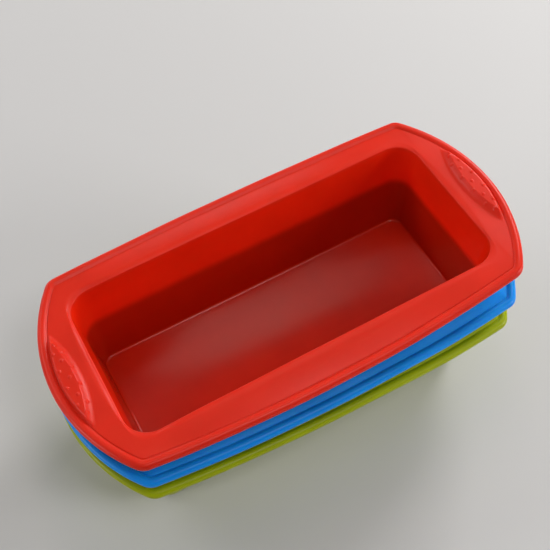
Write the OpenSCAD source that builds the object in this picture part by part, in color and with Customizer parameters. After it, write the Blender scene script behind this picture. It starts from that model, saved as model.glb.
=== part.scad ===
// A nest of three loaf moulds, each moulded in one piece of silicone rubber: a tapered basin,
// a wide flat flange, a thick round bead along the rim and a dotted grip at each end.
// Origin: middle of the lowest mould's underside. +X along the moulds, +Z up.

/* [Basin] */
// Length of the cavity at its lip
cavity_length = 218.8; // [200:0.2:230]
// Width of the cavity at its lip
cavity_width = 94.4; // [80:0.2:104]
// Depth of the cavity, flange to floor
cavity_depth = 61; // [45:0.5:75]
// Inside corner radius at the lip
corner_radius = 14.4; // [12:0.2:20]
// Draft of the basin walls, in degrees from upright
draft = 7.2; // [6.6:0.1:8]
// Thickness of the basin walls, measured level
wall = 1.4; // [1:0.1:1.6]
// Thickness of the basin floor
floor_thickness = 1.6; // [1:0.1:3]
// Radius of the rounded lip
lip_radius = 1; // [0.5:0.1:1.2]
// Radius where the walls meet the floor, inside
floor_radius = 1.8; // [1:0.1:4]

/* [Rim] */
// Overall length, bead to bead
overall_length = 270; // [262:1:290]
// Overall width at mid length, bead to bead
overall_width = 137.6; // [130:0.2:150]
// Distance between the corners, along the mould
corner_spacing_x = 224.4; // [210:0.2:236]
// Distance between the corners, across the mould
corner_spacing_y = 126.6; // [120:0.2:134]
// Outside radius of each rim corner
rim_corner_radius = 9; // [7:0.5:14]
// Thickness of the flange
flange_thickness = 2; // [1.4:0.1:3]
// Radius of the bead's round section
bead_radius = 2.8; // [2.2:0.1:3.2]
// Height of the bead above the flange
bead_rise = 1; // [0.4:0.1:2]

/* [Grips] */
// Length of each lens-shaped grip, tip to tip
grip_length = 63.2; // [50:0.2:66]
// Width of each grip
grip_width = 13; // [9:0.2:14]
// Distance from the middle of the mould to the middle of a grip
grip_place = 123; // [122:0.2:124]
// Height of a grip's crown above the flange
grip_height = 3; // [2:0.1:4]
// How much lower a grip is at its edges than at its crown
grip_crown = 0.8; // [0.6:0.1:1.8]
// Radius of a grip dot
dot_radius = 1; // [0.8:0.1:1.6]
// Distance between dots along a row
dot_pitch = 11; // [9:0.5:12]

/* [Nest] */
// Rise from the lowest mould to the middle one
lower_pitch = 21.4; // [21:0.2:30]
// Rise from the middle mould to the top one
upper_pitch = 21.8; // [21:0.2:30]
// Lean of the middle mould in the lowest one, in degrees
middle_lean = 1.2; // [0:0.1:1.6]
// Further lean of the top mould in the middle one, in degrees
top_lean = 2; // [0:0.1:2]

/* [Hidden] */
$fn = 96;
height = floor_thickness + cavity_depth;
axis_x = cavity_length / 2 - corner_radius;
axis_y = cavity_width / 2 - corner_radius;
fillet_steps = 6;
// The flange's inner border is part of the basin section, and reaches this far past the lip
border = 7;
// Arcs of the outline: one radius for the long sides and one for the ends
side_bulge = (overall_width - corner_spacing_y) / 2;
end_bulge = (overall_length - corner_spacing_x) / 2;
side_arc = arc_radius(corner_spacing_x, side_bulge);
end_arc = arc_radius(corner_spacing_y, end_bulge);
side_centre = [0, side_arc - overall_width / 2];
end_centre = [overall_length / 2 - end_arc, 0];
corner_centre = meet(side_centre, side_arc - rim_corner_radius, end_centre, end_arc - rim_corner_radius);
side_turn = atan2(corner_centre[0] - side_centre[0], side_centre[1] - corner_centre[1]);
end_turn = atan2(end_centre[1] - corner_centre[1], corner_centre[0] - end_centre[0]);
corner_turn = 90 - side_turn - end_turn;
bead_z = height + bead_rise - bead_radius;
grip_arc = arc_radius(grip_length, grip_width / 2);
crown_arc = arc_radius(grip_width, grip_crown);
// Rows of dots: place across the grip as a share of its half width there, and dots in the row
dot_rows = [[0.62, 4], [0.05, 5], [-0.45, 4]];
big_arc_fn = 720;
bead_sides = 16;

function arc_radius(chord, bulge) = (chord * chord / 4 + bulge * bulge) / (2 * bulge);
// Lower point where two circles cross, right of the first circle's centre
function meet(a, ra, b, rb) =
    let (d = norm(b - a), along = (b - a) / d, across = [along[1], -along[0]],
         t = (d * d + ra * ra - rb * rb) / (2 * d))
    a + along * t - across * sqrt(ra * ra - t * t);
function dir(a) = [cos(a), sin(a)];
// Inside radius of a basin corner at a height above the underside
function inner(z) = corner_radius - (height - z) * tan(draft);
// Points of a fillet from one direction to another about a centre
function fillet(centre, r, from, to) =
    [for (i = [0:fillet_steps]) let (a = from + (to - from) * i / fillet_steps)
        centre + r * dir(a)];
function half_width(y) = sqrt(grip_arc * grip_arc - y * y) - grip_arc + grip_width / 2;

// Section of the basin, from a corner's axis outwards: floor, wall and inner border of the flange
module basin_section() {
    outer_fillet = floor_radius + wall;
    // A fillet's centre sits off the wall by its radius, measured square to the slope
    lip_x = inner(height - lip_radius) + lip_radius / cos(draft);
    floor_x = inner(floor_thickness + floor_radius) - floor_radius / cos(draft);
    outer_x = inner(outer_fillet) + wall - outer_fillet / cos(draft);
    polygon(concat(
        [[0, 0]],
        fillet([outer_x, outer_fillet], outer_fillet, -90, -draft),
        [[inner(height - flange_thickness) + wall, height - flange_thickness],
         [corner_radius + border, height - flange_thickness],
         [corner_radius + border, height]],
        fillet([lip_x, height - lip_radius], lip_radius, 90, 180 - draft),
        fillet([floor_x, floor_thickness + floor_radius], floor_radius, -draft, -90),
        [[0, floor_thickness]]));
}

module wall_run(length) {
    rotate([90, 0, 0]) linear_extrude(length, center = true) basin_section();
}

module basin() {
    for (side = [0, 180]) rotate(side) {
        translate([axis_x, 0]) wall_run(2 * axis_y);
        rotate(90) translate([axis_y, 0]) wall_run(2 * axis_x);
        translate([axis_x, axis_y]) rotate_extrude(angle = 90) basin_section();
        translate([axis_x, -axis_y]) rotate([0, 0, -90]) rotate_extrude(angle = 90) basin_section();
    }
    translate([-axis_x, -axis_y]) cube([2 * axis_x, 2 * axis_y, floor_thickness]);
}

// Rectangle with its corners cut off, inside the border that the basin section already has
module flange_opening() {
    reach = corner_radius + border * 0.55;
    cut = reach * tan(22.5);
    x = axis_x + reach;
    y = axis_y + reach;
    square([2 * x, 2 * (axis_y + cut)], center = true);
    square([2 * (axis_x + cut), 2 * y], center = true);
    for (sx = [-1, 1], sy = [-1, 1])
        polygon([[0, 0], [sx * x, sy * (axis_y + cut)], [sx * (axis_x + cut), sy * y]]);
}

// The rim's outline, set in from the bead's outer edge: side arcs crossing the two end arcs
module flange_outline(inset) {
    intersection() {
        translate([0, side_centre[1]]) circle(side_arc - inset, $fn = big_arc_fn);
        translate([0, -side_centre[1]]) circle(side_arc - inset, $fn = big_arc_fn);
        union() {
            square([2 * end_centre[0] + corner_radius, 2 * end_arc - overall_width / 4], center = true);
            translate([end_centre[0], 0]) circle(end_arc - inset, $fn = big_arc_fn);
            translate([-end_centre[0], 0]) circle(end_arc - inset, $fn = big_arc_fn);
        }
    }
}

module flange() {
    translate([0, 0, height - flange_thickness]) linear_extrude(flange_thickness)
        difference() {
            flange_outline(bead_radius);
            flange_opening();
        }
}

// A length of bead about a centre, from one direction through an angle
module bead_arc(centre, radius, from, turn, fn) {
    translate([centre[0], centre[1], bead_z]) rotate([0, 0, from])
        rotate_extrude(angle = turn, $fn = fn) translate([radius - bead_radius, 0])
                polygon([for (i = [1:bead_sides]) bead_radius * dir(360 * i / bead_sides)]);
}

module bead() {
    for (side = [0, 180]) rotate(side) {
        bead_arc(side_centre, side_arc, -90 - side_turn, 2 * side_turn, big_arc_fn);
        bead_arc(end_centre, end_arc, -end_turn, 2 * end_turn, big_arc_fn);
        bead_arc(corner_centre, rim_corner_radius, -90 + side_turn, corner_turn, $fn);
        bead_arc([corner_centre[0], -corner_centre[1]], rim_corner_radius, end_turn, corner_turn, $fn);
    }
}

// Lens-shaped pad with a crowned top and rows of dots, on the +X end
module grip() {
    root = flange_thickness / 2;
    translate([grip_place, 0, height]) {
        intersection() {
            translate([0, 0, -root]) linear_extrude(grip_height + root) intersection() {
                translate([grip_width / 2 - grip_arc, 0]) circle(grip_arc, $fn = big_arc_fn);
                translate([grip_arc - grip_width / 2, 0]) circle(grip_arc, $fn = big_arc_fn);
            }
            translate([0, 0, grip_height - crown_arc]) rotate([90, 0, 0])
                cylinder(h = 2 * grip_length, r = crown_arc, center = true);
        }
        for (row = dot_rows, i = [0:row[1] - 1]) {
            y = (i - (row[1] - 1) / 2) * dot_pitch;
            x = row[0] * half_width(y);
            z = grip_height - crown_arc + sqrt(crown_arc * crown_arc - x * x);
            translate([x, y, z - dot_radius / 2]) sphere(dot_radius, $fn = 24);
        }
    }
}

module mould() {
    basin();
    flange();
    bead();
    grip();
    rotate(180) grip();
}

// Sets a mould into the one below: raised by the pitch, and leaning about its middle
module nest(pitch, lean) {
    translate([0, 0, pitch + height / 2]) rotate([0, -lean, 0]) translate([0, 0, -height / 2])
        children();
}

module bottom_mould() { color("yellowgreen") mould(); }
module middle_mould() { color("dodgerblue") nest(lower_pitch, middle_lean) mould(); }
module top_mould() {
    color("tomato") nest(lower_pitch, middle_lean) nest(upper_pitch, top_lean) mould();
}

bottom_mould();
middle_mould();
top_mould();
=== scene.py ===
"""A nest of three silicone loaf moulds: red on top of blue on top of lime green."""
import math
import bpy
import numpy as np
from mathutils import Matrix, Vector


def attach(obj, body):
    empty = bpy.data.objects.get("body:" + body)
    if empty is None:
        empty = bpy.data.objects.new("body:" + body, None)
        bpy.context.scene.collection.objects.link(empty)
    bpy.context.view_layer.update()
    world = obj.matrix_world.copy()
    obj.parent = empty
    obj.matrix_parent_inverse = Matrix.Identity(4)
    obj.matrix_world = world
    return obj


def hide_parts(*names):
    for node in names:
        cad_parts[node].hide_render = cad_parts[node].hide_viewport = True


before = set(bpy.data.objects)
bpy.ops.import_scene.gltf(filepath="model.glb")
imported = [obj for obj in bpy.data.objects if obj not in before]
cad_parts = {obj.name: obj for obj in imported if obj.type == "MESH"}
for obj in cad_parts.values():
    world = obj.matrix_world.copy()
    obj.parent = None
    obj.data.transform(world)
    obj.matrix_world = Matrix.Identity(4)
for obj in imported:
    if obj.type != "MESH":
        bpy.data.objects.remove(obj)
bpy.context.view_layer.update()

MM = 0.001
DEG = math.pi / 180

# The moulding's driving dimensions in millimetres, as the CAD model has them
CAVITY_LENGTH = 218.8
CAVITY_WIDTH = 94.4
CAVITY_DEPTH = 61.0
CORNER_RADIUS = 14.4
DRAFT = 7.2 * DEG
WALL = 1.4
FLOOR_THICKNESS = 1.6
LIP_RADIUS = 1.0
FLOOR_RADIUS = 1.8
OVERALL_LENGTH = 270.0
OVERALL_WIDTH = 137.6
CORNER_SPACING_X = 224.4
CORNER_SPACING_Y = 126.6
RIM_CORNER_RADIUS = 9.0
FLANGE_THICKNESS = 2.0
BEAD_RADIUS = 2.8
BEAD_RISE = 1.0
GRIP_LENGTH = 63.2
GRIP_WIDTH = 13.0
GRIP_PLACE = 123.0
GRIP_HEIGHT = 3.0
DOT_RADIUS = 1.0
DOT_PITCH = 11.0
# Rows of dots: place across the grip as a share of its half width there, and dots in the row
DOT_ROWS = [(0.62, 4), (0.05, 5), (-0.45, 4)]
# Rise and lean of the middle mould in the lowest one, and of the top mould in the middle one
LOWER_PITCH = 21.4
MIDDLE_LEAN = 1.2 * DEG
UPPER_PITCH = 21.8
TOP_LEAN = 2.0 * DEG

# Grips, in millimetres: rounding of the outer edge, run of the inner flank, fade at the tips
GRIP_OUTER_EDGE = 1.7
GRIP_INNER_FLANK = 4.4
GRIP_TIP_FADE = 1.5
# Exponent of the flank's hollow, and how much and how sharply its ridge is rounded
FLANK_HOLLOW = 1.6
RIDGE_ROUNDING = 0.06
RIDGE_SHARPNESS = 16
DOT_RISE = 0.55
DOT_ROUNDNESS = 0.7

# Groove between flange and bead, in millimetres, and a ring on its flank as shares of it
CREASE_WIDTH = 0.5
CREASE_DEPTH = 0.4
CREASE_EDGE = 0.08
CREASE_FLANK_PLACE = 0.8
CREASE_FLANK_DROP = 0.9
# Angle by which the bead stops short of a full turn, and the step in to the flange's underside
BEAD_END_GAP = 0.1
BEAD_STEP = 0.3
UNDERSIDE_BEND = 1.2

# Roll of the flange into the cavity, stronger at the left end, in millimetres
ROLL_DEPTH = 0.35
ROLL_WIDTH = 4.0
ROLL_LEFT_GAIN = 2
ROLL_LEFT_START = 70
ROLL_LEFT_RUN = 30

# Flexing of the rubber: exponent of the bend across the flange, and where the near side and the
# right end begin to hang, in millimetres
FLEX_EXPONENT = 1.35
NEAR_START = 10
NEAR_RUN = 50
RIGHT_START = 15
RIGHT_RUN = 65
# Unevenness: heights of its waves in millimetres, its share at the wall, and where it begins
LONG_WAVE = 0.16
MEDIUM_WAVE = 0.1
SHORT_WAVE = 0.05
WAVE_AT_WALL = 0.35
WAVE_START = 6
# The floor's sag ends this far past the corners' axes, and takes in points this close to the floor
SAG_MARGIN = 6
SAG_HEIGHT = 1.5

# Depths, as shares of the height, where the cavity's colour changes: rim, open wall lightened by a
# painted glow of light shining through the thin rubber, backed wall darkened by painted shade where
# another mould is behind it, and floor, also darkened by painted shade
PAINTED_LIGHT_STOPS = (0.01, 0.06, 0.37, 0.49, 0.95, 0.972)
# The cavity is polished from this depth down
POLISHED_DEPTH = 0.015
SATIN_ROUGHNESS = 0.28
POLISHED_ROUGHNESS = 0.14
SMEAR_ROUGHNESS = 0.12

HEIGHT = FLOOR_THICKNESS + CAVITY_DEPTH
AXIS_X = CAVITY_LENGTH / 2 - CORNER_RADIUS
AXIS_Y = CAVITY_WIDTH / 2 - CORNER_RADIUS
BEAD_Z = HEIGHT + BEAD_RISE - BEAD_RADIUS


def arc_radius(chord, bulge):
    return (chord * chord / 4 + bulge * bulge) / (2 * bulge)


def meet(a, ra, b, rb):
    """The right-hand, lower point where two circles cross."""
    a, b = np.array(a), np.array(b)
    d = np.linalg.norm(b - a)
    along = (b - a) / d
    across = np.array([along[1], -along[0]])
    t = (d * d + ra * ra - rb * rb) / (2 * d)
    return a + along * t - across * math.sqrt(ra * ra - t * t)


SIDE_ARC = arc_radius(CORNER_SPACING_X, (OVERALL_WIDTH - CORNER_SPACING_Y) / 2)
END_ARC = arc_radius(CORNER_SPACING_Y, (OVERALL_LENGTH - CORNER_SPACING_X) / 2)
SIDE_CENTRE = (0.0, SIDE_ARC - OVERALL_WIDTH / 2)
END_CENTRE = (OVERALL_LENGTH / 2 - END_ARC, 0.0)
CORNER_CENTRE = meet(SIDE_CENTRE, SIDE_ARC - RIM_CORNER_RADIUS, END_CENTRE, END_ARC - RIM_CORNER_RADIUS)
SIDE_TURN = math.atan2(CORNER_CENTRE[0], SIDE_CENTRE[1] - CORNER_CENTRE[1])
END_TURN = math.atan2(-CORNER_CENTRE[1], CORNER_CENTRE[0] - END_CENTRE[0])
CORNER_TURN = math.pi / 2 - SIDE_TURN - END_TURN
GRIP_ARC = arc_radius(GRIP_LENGTH, GRIP_WIDTH / 2)


def smooth(t):
    t = np.clip(t, 0.0, 1.0)
    return t * t * (3 - 2 * t)


def grip_half_width(y):
    """Half the width of a grip's lens, at a distance from its middle."""
    return np.sqrt(np.maximum(GRIP_ARC**2 - y * y, 0)) - GRIP_ARC + GRIP_WIDTH / 2


class Path:
    """Matching points round the basin's corners and round the rim's outline.

    A basin point is base + r * normal. A rim point is centre + (radius - inset) * heading.
    """

    END_STEPS = 216
    SIDE_STEPS = 60
    CORNER_STEPS = 14
    # Share of an end's points that lie along its grip, and the share of the end that they cover
    GRIP_SHARE = 0.8
    GRIP_REACH = 0.64

    def __init__(self):
        grip_points = int(self.END_STEPS * self.GRIP_SHARE) + 1
        rest_points = int(self.END_STEPS * (1 - self.GRIP_SHARE) / 2) + 1
        grip = np.linspace(-1, 1, grip_points) * self.GRIP_REACH
        rest = np.linspace(self.GRIP_REACH, 1, rest_points)
        end = np.concatenate([-rest[:0:-1], grip, rest[1:]])
        side = np.linspace(-1, 1, self.SIDE_STEPS + 1)
        corner = np.linspace(0, 1, self.CORNER_STEPS + 1)
        parts = []
        for sign in (1.0, -1.0):
            parts.append(self.turned(self.end_stretch(end[:-1]), sign))
            parts.append(self.turned(self.corner_stretch(corner[:-1], 1), sign))
            parts.append(self.turned(self.side_stretch(side[:-1]), sign))
            parts.append(self.turned(self.corner_stretch(corner[:-1], 2), sign))
        self.base, self.normal, self.centre, self.heading, self.radius = (
            np.concatenate([p[i] for p in parts]) for i in range(5)
        )

    @staticmethod
    def turned(part, sign):
        """A stretch as it is, or turned half round the mould's middle for a sign of -1."""
        base, normal, centre, heading, radius = part
        return base * sign, normal * sign, centre * sign, heading * sign, radius

    @staticmethod
    def pack(base, normal, centre, angle, radius):
        count = len(angle)

        def full(v):
            return np.broadcast_to(np.array(v, float), (count, 2)).copy()

        heading = np.stack([np.cos(angle), np.sin(angle)], 1)
        return full(base), full(normal), full(centre), heading, np.full(count, radius)

    def end_stretch(self, s):
        base = np.stack([np.full(len(s), AXIS_X), s * AXIS_Y], 1)
        return self.pack(base, (1, 0), END_CENTRE, s * END_TURN, END_ARC)

    def side_stretch(self, s):
        base = np.stack([-s * AXIS_X, np.full(len(s), AXIS_Y)], 1)
        return self.pack(base, (0, 1), (0, -SIDE_CENTRE[1]), math.pi / 2 + s * SIDE_TURN, SIDE_ARC)

    def corner_stretch(self, s, quarter):
        """Quarter 1 is the +X +Y corner, quarter 2 the -X +Y corner."""
        normal_angle = s * math.pi / 2 + (quarter - 1) * math.pi / 2
        normal = np.stack([np.cos(normal_angle), np.sin(normal_angle)], 1)
        if quarter == 1:
            base, centre = (AXIS_X, AXIS_Y), (CORNER_CENTRE[0], -CORNER_CENTRE[1])
            angle = END_TURN + s * CORNER_TURN
        else:
            base, centre = (-AXIS_X, AXIS_Y), (-CORNER_CENTRE[0], -CORNER_CENTRE[1])
            angle = math.pi / 2 + SIDE_TURN + s * CORNER_TURN
        return self.pack(base, normal, centre, angle, RIM_CORNER_RADIUS)

    def basin(self, r):
        return self.base + r * self.normal

    def rim(self, inset):
        return self.centre + (self.radius - inset)[:, None] * self.heading


def inner_radius(z):
    """Inside radius of a basin corner at a height above the underside."""
    return CORNER_RADIUS - (HEIGHT - z) * math.tan(DRAFT)


class Rings:
    """The moulding's surface as rings of points, from the cavity's floor round to the underside."""

    # Rings in each stretch, counting both of its ends
    FLOOR_RINGS = 13
    FILLET_RINGS = 9
    WALL_RINGS = 12
    LIP_RINGS = 8
    PLAIN_FLANGE_RINGS = 9
    GRIP_FLANGE_RINGS = 57
    BEAD_RINGS = 20
    UNDER_FLANGE_RINGS = 6
    BEND_RINGS = 6
    OUTER_WALL_RINGS = 10
    OUTER_FILLET_RINGS = 8
    UNDERSIDE_RINGS = 5
    # Size of the innermost ring, as a share of the floor
    CENTRE_SHARE = 0.03
    # Share of the flange's width where the rings are wider apart, before the grips
    PLAIN_SHARE = 0.24

    def __init__(self, path):
        self.path = path
        self.xy = []
        self.z = []
        self.reach = []
        self.top = []
        self.inside_floor()
        self.cavity_wall()
        self.flange_top()
        self.inside = len(self.z)
        self.bead()
        self.flange_underside()
        self.outer_wall()
        self.underside()
        self.xy = np.stack(self.xy)
        self.z = np.repeat(np.array(self.z)[:, None], self.xy.shape[1], 1)
        self.reach = np.array(self.reach)[:, None]
        self.top = np.array(self.top)[:, None]

    def add(self, xy, z, reach=0.0, top=False):
        """Reach is the share of the way out across the flange; top marks its upper face."""
        self.xy.append(xy)
        self.z.append(z)
        self.reach.append(reach)
        self.top.append(top)

    def inside_floor(self):
        self.floor_x = inner_radius(FLOOR_THICKNESS + FLOOR_RADIUS) - FLOOR_RADIUS / math.cos(DRAFT)
        for share in np.linspace(self.CENTRE_SHARE, 1, self.FLOOR_RINGS)[:-1]:
            self.add(self.path.basin(self.floor_x) * share, FLOOR_THICKNESS)

    def cavity_wall(self):
        for a in np.linspace(-math.pi / 2, -DRAFT, self.FILLET_RINGS):
            r = self.floor_x + FLOOR_RADIUS * math.cos(a)
            self.add(self.path.basin(r), FLOOR_THICKNESS + FLOOR_RADIUS * (1 + math.sin(a)))
        low = self.z[-1]
        high = HEIGHT - LIP_RADIUS * (1 + math.sin(DRAFT))
        for z in np.linspace(low, high, self.WALL_RINGS)[1:-1]:
            self.add(self.path.basin(inner_radius(z)), z)
        self.lip_x = inner_radius(HEIGHT - LIP_RADIUS) + LIP_RADIUS / math.cos(DRAFT)
        for a in np.linspace(math.pi - DRAFT, math.pi / 2, self.LIP_RINGS):
            r = self.lip_x + LIP_RADIUS * math.cos(a)
            self.add(self.path.basin(r), HEIGHT - LIP_RADIUS * (1 - math.sin(a)))

    def flange_top(self):
        """The flange's upper face, and the fine groove that parts it from the bead."""
        lip = self.path.basin(self.lip_x)
        rise = HEIGHT - CREASE_DEPTH - BEAD_Z
        self.crease_angle = math.pi - math.asin(rise / BEAD_RADIUS)
        root = BEAD_RADIUS * (1 - math.cos(self.crease_angle))
        crease = self.path.rim(root + CREASE_WIDTH + CREASE_EDGE)
        self.span = np.linalg.norm(crease - lip, axis=1)
        plain = np.linspace(0, self.PLAIN_SHARE, self.PLAIN_FLANGE_RINGS)[1:]
        gripped = np.linspace(self.PLAIN_SHARE, 1, self.GRIP_FLANGE_RINGS)[1:]
        for share in np.concatenate([plain, gripped]):
            self.add(lip + (crease - lip) * share, HEIGHT, share, True)
        self.add(self.path.rim(root + CREASE_WIDTH), HEIGHT, 1.0)
        flank = self.path.rim(root + CREASE_WIDTH * CREASE_FLANK_PLACE)
        self.add(flank, HEIGHT - CREASE_DEPTH * CREASE_FLANK_DROP, 1.0)

    def bead(self):
        for a in np.linspace(self.crease_angle, -math.pi + BEAD_END_GAP, self.BEAD_RINGS):
            inset = BEAD_RADIUS * (1 - math.cos(a))
            self.add(self.path.rim(inset), BEAD_Z + BEAD_RADIUS * math.sin(a), 1.0)

    def flange_underside(self):
        low = HEIGHT - FLANGE_THICKNESS
        root = inner_radius(low) + WALL + UNDERSIDE_BEND
        rim = self.path.rim(2 * BEAD_RADIUS + BEAD_STEP)
        near = self.path.basin(root)
        for share in np.linspace(1, 0, self.UNDER_FLANGE_RINGS):
            self.add(near + (rim - near) * share, low, share)
        for a in np.linspace(math.pi / 2, math.pi - DRAFT, self.BEND_RINGS)[1:]:
            r = root + UNDERSIDE_BEND * math.cos(a)
            self.add(self.path.basin(r), low - UNDERSIDE_BEND * (1 - math.sin(a)))

    def outer_wall(self):
        fillet = FLOOR_RADIUS + WALL
        low = fillet * (1 - math.sin(DRAFT))
        for z in np.linspace(self.z[-1], low, self.OUTER_WALL_RINGS)[1:-1]:
            self.add(self.path.basin(inner_radius(z) + WALL), z)
        self.under_x = inner_radius(fillet) + WALL - fillet / math.cos(DRAFT)
        for a in np.linspace(-DRAFT, -math.pi / 2, self.OUTER_FILLET_RINGS):
            r = self.under_x + fillet * math.cos(a)
            self.add(self.path.basin(r), fillet * (1 + math.sin(a)))

    def underside(self):
        for share in np.linspace(1, self.CENTRE_SHARE, self.UNDERSIDE_RINGS)[1:]:
            self.add(self.path.basin(self.under_x) * share, 0.0)

    def depth(self):
        """Depth inside the cavity as a share of the mould's height, and zero on the outside."""
        depth = np.clip(1 - self.z / HEIGHT, 0, 1)
        depth[self.inside:] = 0
        return depth


def grip_relief(x, y):
    """Height of the two lens-shaped grips and their dots above the flange."""
    across = np.abs(x) - GRIP_PLACE
    half = grip_half_width(y)
    inside = (half > 0).astype(float)
    edge = np.clip((half - across) / GRIP_OUTER_EDGE, 0, 1)
    outer = np.sqrt(1 - (1 - edge) ** 2)
    # The inner flank is hollow at its foot, and its ridge is slightly rounded
    flank = np.clip((half + across) / GRIP_INNER_FLANK, 0, 1)
    inner = flank**FLANK_HOLLOW - RIDGE_ROUNDING * flank**RIDGE_SHARPNESS
    height = GRIP_HEIGHT * inside * outer * inner * smooth(half / GRIP_TIP_FADE)
    for share, count in DOT_ROWS:
        for i in range(count):
            dy = (i - (count - 1) / 2) * DOT_PITCH
            dx = share * grip_half_width(dy)
            d2 = ((across - dx) ** 2 + (y - dy) ** 2) / DOT_RADIUS**2
            height += DOT_RISE * np.maximum(1 - d2, 0) ** DOT_ROUNDNESS * inside
    return height


def waviness(x, y, phase):
    """Slow unevenness of soft rubber, a fraction of a millimetre."""
    return (
        LONG_WAVE * np.sin(x / 21 + phase) * np.cos(y / 17 - phase)
        + MEDIUM_WAVE * np.sin(x / 9.5 - 2 * phase + y / 13)
        + SHORT_WAVE * np.cos(y / 6.1 + x / 11 + phase)
    )


def roll(rings, x):
    """How far the flange rolls down towards the cavity, most at the left end."""
    beyond = rings.reach * rings.span
    share = np.clip(1 - beyond / ROLL_WIDTH, 0, 1) ** 2 * np.clip(rings.z / HEIGHT, 0, 1)
    return ROLL_DEPTH * share * (1 + ROLL_LEFT_GAIN * smooth((-x - ROLL_LEFT_START) / ROLL_LEFT_RUN))


def shape_mould(rings, flex, floor_sag, phase):
    """Points of one moulding, bent as soft rubber: flex moves the rim, and the floor sags."""
    x, y = rings.xy[..., 0], rings.xy[..., 1]
    z = rings.z + np.where(rings.top, grip_relief(x, y), 0.0)
    out = rings.reach**FLEX_EXPONENT
    spread, lift = flex(x, y)
    z = z + out * lift - roll(rings, x)
    above_floor = rings.z > FLOOR_THICKNESS + WAVE_START
    wave_share = WAVE_AT_WALL + (1 - WAVE_AT_WALL) * rings.reach
    z = z + wave_share * waviness(x, y, phase) * above_floor
    along = np.clip(1 - (x / (AXIS_X + SAG_MARGIN)) ** 2, 0, 1)
    belly = along * np.clip(1 - (y / (AXIS_Y + SAG_MARGIN)) ** 2, 0, 1)
    on_floor = rings.z < FLOOR_THICKNESS + SAG_HEIGHT
    z = z - floor_sag * np.where(on_floor, belly, 0.0)
    return np.stack([x, y + out * spread, z], -1)


def droop(sides, near=0.0, spread=0.0, right=0.0):
    """How a soft flange hangs, in millimetres: long sides between the corners, near side, right end."""
    def flex(x, y):
        lift = -sides * np.clip(1 - (x / (CORNER_SPACING_X / 2)) ** 2, 0, 1)
        nearness = smooth((NEAR_START - y) / NEAR_RUN)
        lift = lift - near * nearness - right * smooth((x - RIGHT_START) / RIGHT_RUN)
        return -spread * nearness, lift
    return flex


def nest(pitch, lean):
    """Places a mould in the one below, as the CAD model does, in millimetres."""
    centre = Matrix.Translation((0, 0, pitch + HEIGHT / 2))
    return centre @ Matrix.Rotation(-lean, 4, "Y") @ Matrix.Translation((0, 0, -HEIGHT / 2))


def build_mesh(name, points, place, depth):
    """A closed mesh through the rings of points, with each point's depth in the cavity."""
    rings, count = points.shape[:2]
    verts = np.concatenate([points.reshape(-1, 3), [points[0].mean(0), points[-1].mean(0)]])
    verts = verts @ np.array(place.to_3x3()).T + np.array(place.translation)
    here = np.arange(count)
    after = (here + 1) % count
    faces = []
    for r in range(rings - 1):
        a, b = r * count, (r + 1) * count
        faces += np.stack([a + here, b + here, b + after, a + after], 1).tolist()
    start, end = rings * count, rings * count + 1
    base = (rings - 1) * count
    faces += [[start, h, n] for h, n in zip(here.tolist(), after.tolist())]
    faces += [[end, base + n, base + h] for h, n in zip(here.tolist(), after.tolist())]
    mesh = bpy.data.meshes.new(name)
    mesh.from_pydata((verts * MM).tolist(), [], faces)
    mesh.update()
    mesh.shade_smooth()
    layer = mesh.attributes.new("depth", "FLOAT", "POINT")
    layer.data.foreach_set("value", np.concatenate([depth.ravel(), [depth[0, 0], depth[-1, 0]]]))
    piece = bpy.data.objects.new(name, mesh)
    bpy.context.scene.collection.objects.link(piece)
    return piece


def map_range(nodes, from_min, from_max, to_min, to_max):
    node = nodes.new("ShaderNodeMapRange")
    node.inputs["From Min"].default_value = from_min
    node.inputs["From Max"].default_value = from_max
    node.inputs["To Min"].default_value = to_min
    node.inputs["To Max"].default_value = to_max
    return node


def noise(nodes, scale, detail):
    node = nodes.new("ShaderNodeTexNoise")
    node.inputs["Scale"].default_value = scale
    node.inputs["Detail"].default_value = detail
    return node


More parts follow.
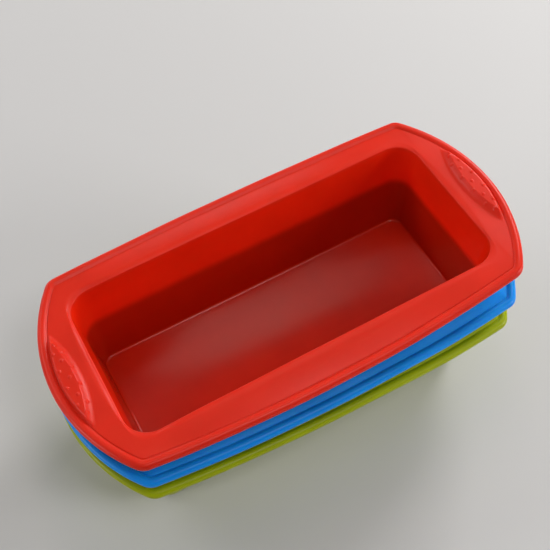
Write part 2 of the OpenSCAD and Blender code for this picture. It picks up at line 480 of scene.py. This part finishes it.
def silicone(name, skin, painted_glow, painted_shade, base, scatter):
    """Satin silicone rubber, polished in the cavity.

    Its colour changes from the rim (skin), the rubber's own colour, to the open wall, lightened by a
    painted glow of light shining through the thin rubber, then to the wall with another mould behind it,
    darkened by painted shade, and to the floor (base), also darkened by painted shade.
    """
    material = bpy.data.materials.new(name)
    material.use_nodes = True
    nodes, links = material.node_tree.nodes, material.node_tree.links
    shader = nodes["Principled BSDF"]
    shader.inputs["Subsurface Weight"].default_value = 0.55
    shader.inputs["Subsurface Radius"].default_value = scatter
    shader.inputs["Subsurface Scale"].default_value = MM
    shader.inputs["Specular IOR Level"].default_value = 0.3
    shader.inputs["IOR"].default_value = 1.42
    place = nodes.new("ShaderNodeTexCoord")
    depth = nodes.new("ShaderNodeAttribute")
    depth.attribute_name = "depth"

    # Colour by depth, with a faint cloudiness: a painted glow lightens the open upper wall, and painted
    # shade darkens the backed wall and the floor
    ramp = nodes.new("ShaderNodeValToRGB")
    ramp.color_ramp.interpolation = "EASE"
    stops = ramp.color_ramp.elements
    stops[0].position, stops[0].color = PAINTED_LIGHT_STOPS[0], (*skin, 1)
    stops[1].position, stops[1].color = PAINTED_LIGHT_STOPS[-1], (*base, 1)
    # The lighter stops are a painted glow of light through the open wall, the darker ones painted shade
    # on the backed wall
    for position, colour in zip(PAINTED_LIGHT_STOPS[1:-1], (painted_glow, painted_glow, painted_shade, painted_shade)):
        stops.new(position).color = (*colour, 1)
    links.new(depth.outputs["Fac"], ramp.inputs["Fac"])
    mottle = noise(nodes, scale=38.0, detail=6.0)
    links.new(place.outputs["Object"], mottle.inputs["Vector"])
    shade = map_range(nodes, from_min=0.3, from_max=0.7, to_min=0.93, to_max=1.05)
    links.new(mottle.outputs["Fac"], shade.inputs["Value"])
    tint = nodes.new("ShaderNodeVectorMath")
    tint.operation = "SCALE"
    links.new(ramp.outputs["Color"], tint.inputs[0])
    links.new(shade.outputs["Result"], tint.inputs["Scale"])
    links.new(tint.outputs["Vector"], shader.inputs["Base Color"])

    # Roughness: polished inside, satin outside, and slightly smeared all over
    polish = map_range(nodes, 0.0, POLISHED_DEPTH, SATIN_ROUGHNESS, POLISHED_ROUGHNESS)
    links.new(depth.outputs["Fac"], polish.inputs["Value"])
    smear = nodes.new("ShaderNodeMath")
    smear.operation = "MULTIPLY_ADD"
    smear.inputs[1].default_value = SMEAR_ROUGHNESS
    links.new(mottle.outputs["Fac"], smear.inputs[0])
    links.new(polish.outputs["Result"], smear.inputs[2])
    links.new(smear.outputs["Value"], shader.inputs["Roughness"])

    # Fine moulded grain
    grain = noise(nodes, scale=900.0, detail=4.0)
    links.new(place.outputs["Object"], grain.inputs["Vector"])
    bump = nodes.new("ShaderNodeBump")
    bump.inputs["Strength"].default_value = 0.15
    bump.inputs["Distance"].default_value = 0.2 * MM
    links.new(grain.outputs["Fac"], bump.inputs["Height"])
    links.new(bump.outputs["Normal"], shader.inputs["Normal"])
    return material


def stage_floor():
    mesh = bpy.data.meshes.new("floor")
    half = 3.0
    corners = [(-half, -half, 0), (half, -half, 0), (half, half, 0), (-half, half, 0)]
    mesh.from_pydata(corners, [], [(0, 1, 2, 3)])
    floor = bpy.data.objects.new("floor", mesh)
    bpy.context.scene.collection.objects.link(floor)
    material = bpy.data.materials.new("floor_paint")
    material.use_nodes = True
    shader = material.node_tree.nodes["Principled BSDF"]
    shader.inputs["Base Color"].default_value = (0.62, 0.61, 0.6, 1)
    shader.inputs["Roughness"].default_value = 0.8
    floor.data.materials.append(material)


def area_light(name, place, target, size, power, colour=(1, 1, 1)):
    light = bpy.data.lights.new(name, "AREA")
    light.shape = "RECTANGLE"
    light.size, light.size_y = size
    light.energy = power
    light.color = colour
    holder = bpy.data.objects.new(name, light)
    holder.location = place
    holder.rotation_euler = (Vector(target) - Vector(place)).to_track_quat("-Z", "Y").to_euler()
    bpy.context.scene.collection.objects.link(holder)


def camera():
    """Looks down at the top mould from its near left, measured from its flange."""
    azimuth = -24.67 * DEG
    elevation = 56.24 * DEG
    roll_angle = -5.09 * DEG
    distance = 523.6
    target = Vector((-2.86, 2.69, HEIGHT))
    back = Vector((
        math.sin(azimuth) * math.cos(elevation),
        -math.cos(azimuth) * math.cos(elevation),
        math.sin(elevation),
    ))
    right = Vector((0, 0, 1)).cross(back).normalized()
    up = back.cross(right)
    turned_right = right * math.cos(roll_angle) + up * math.sin(roll_angle)
    turned_up = up * math.cos(roll_angle) - right * math.sin(roll_angle)
    local = Matrix((turned_right, turned_up, back)).transposed().to_4x4()
    local.translation = target + back * distance
    world = place_top @ local
    world.translation = world.translation * MM
    data = bpy.data.cameras.new("camera")
    data.sensor_width = 36.0
    data.lens = 63.48
    holder = bpy.data.objects.new("camera", data)
    holder.matrix_world = world
    bpy.context.scene.collection.objects.link(holder)
    bpy.context.scene.camera = holder


def studio_world():
    """A soft dome of light, brighter overhead and behind."""
    world = bpy.data.worlds.new("studio")
    world.use_nodes = True
    nodes, links = world.node_tree.nodes, world.node_tree.links
    background = nodes["Background"]
    background.inputs["Color"].default_value = (0.97, 0.98, 1.0, 1)
    place = nodes.new("ShaderNodeTexCoord")
    towards = nodes.new("ShaderNodeVectorMath")
    towards.operation = "DOT_PRODUCT"
    towards.inputs[1].default_value = Vector((0.1, 0.25, 0.95)).normalized()
    links.new(place.outputs["Generated"], towards.inputs[0])
    strength = map_range(nodes, from_min=0.0, from_max=1.0, to_min=0.14, to_max=0.24)
    links.new(towards.outputs["Value"], strength.inputs["Value"])
    links.new(strength.outputs["Result"], background.inputs["Strength"])
    bpy.context.scene.world = world


rings = Rings(Path())
place_bottom = Matrix.Identity(4)
place_middle = nest(LOWER_PITCH, MIDDLE_LEAN)
place_top = place_middle @ nest(UPPER_PITCH, TOP_LEAN)

# Each mould's lighter open-wall colour is a painted glow of light through the thin rubber, and its
# darker backed-wall and floor colours are painted shade
GREEN = silicone(
    "green_silicone",
    skin=(0.39, 0.44, 0.0),
    painted_glow=(0.4, 0.46, 0.0),
    painted_shade=(0.26, 0.31, 0.0),
    base=(0.3, 0.36, 0.0),
    scatter=(1.4, 1.6, 0.3),
)
BLUE = silicone(
    "blue_silicone",
    skin=(0.004, 0.3, 0.88),
    painted_glow=(0.005, 0.33, 0.92),
    painted_shade=(0.003, 0.18, 0.6),
    base=(0.003, 0.22, 0.7),
    scatter=(0.3, 0.8, 2.0),
)
RED = silicone(
    "red_silicone",
    skin=(0.76, 0.025, 0.008),
    painted_glow=(0.82, 0.019, 0.003),
    painted_shade=(0.42, 0.01, 0.001),
    base=(0.58, 0.015, 0.002),
    scatter=(3.2, 0.5, 0.3),
)

# Node, body, slot, place, droop of the rim, sag of the floor, phase of its waves, material
MOULDS = [
    ("bottom_mould", "bottom", "green_silicone", place_bottom, droop(1.0, right=4.0), 0.0, 0.4, GREEN),
    ("middle_mould", "middle", "blue_silicone", place_middle, droop(2.0, 2.0, 1.0, 1.5), 0.8, 1.7, BLUE),
    ("top_mould", "top", "red_silicone", place_top, droop(4.0), 5.5, 2.9, RED),
]
for node, body, slot, place, flex, sag, phase, material in MOULDS:
    piece = build_mesh(node + "_skin", shape_mould(rings, flex, sag, phase), place, rings.depth())
    piece.data.materials.append(material)
    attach(piece, body)
    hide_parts(node)

stage_floor()
studio_world()
area_light("key", (0.9, 0.5, 0.73), (0.03, 0, 0.1), (0.45, 0.45), 7.4)
area_light("window", (-0.62, 0.62, 0.78), (0, 0, 0.1), (0.5, 0.1), 1.7)
area_light("front", (0.85, -0.6, 0.45), (0.02, 0, 0.08), (0.4, 0.4), 4.3)
area_light("crown", (0.12, -0.5, 1.05), (0.03, 0, 0.08), (0.3, 0.3), 2.2)
area_light("left", (-1.6, 0.16, 0.38), (0.05, 0, 0.1), (0.4, 0.25), 5.5)
area_light("back", (-0.1, 0.85, 0.3), (0, 0, 0.1), (1.2, 0.2), 1.2)
area_light("overhead", (0.13, 0.25, 1.0), (0.13, 0.25, 0), (0.19, 0.36), 0.65, (1, 0.8, 0.68))
camera()
bpy.context.scene.view_settings.view_transform = "Standard"
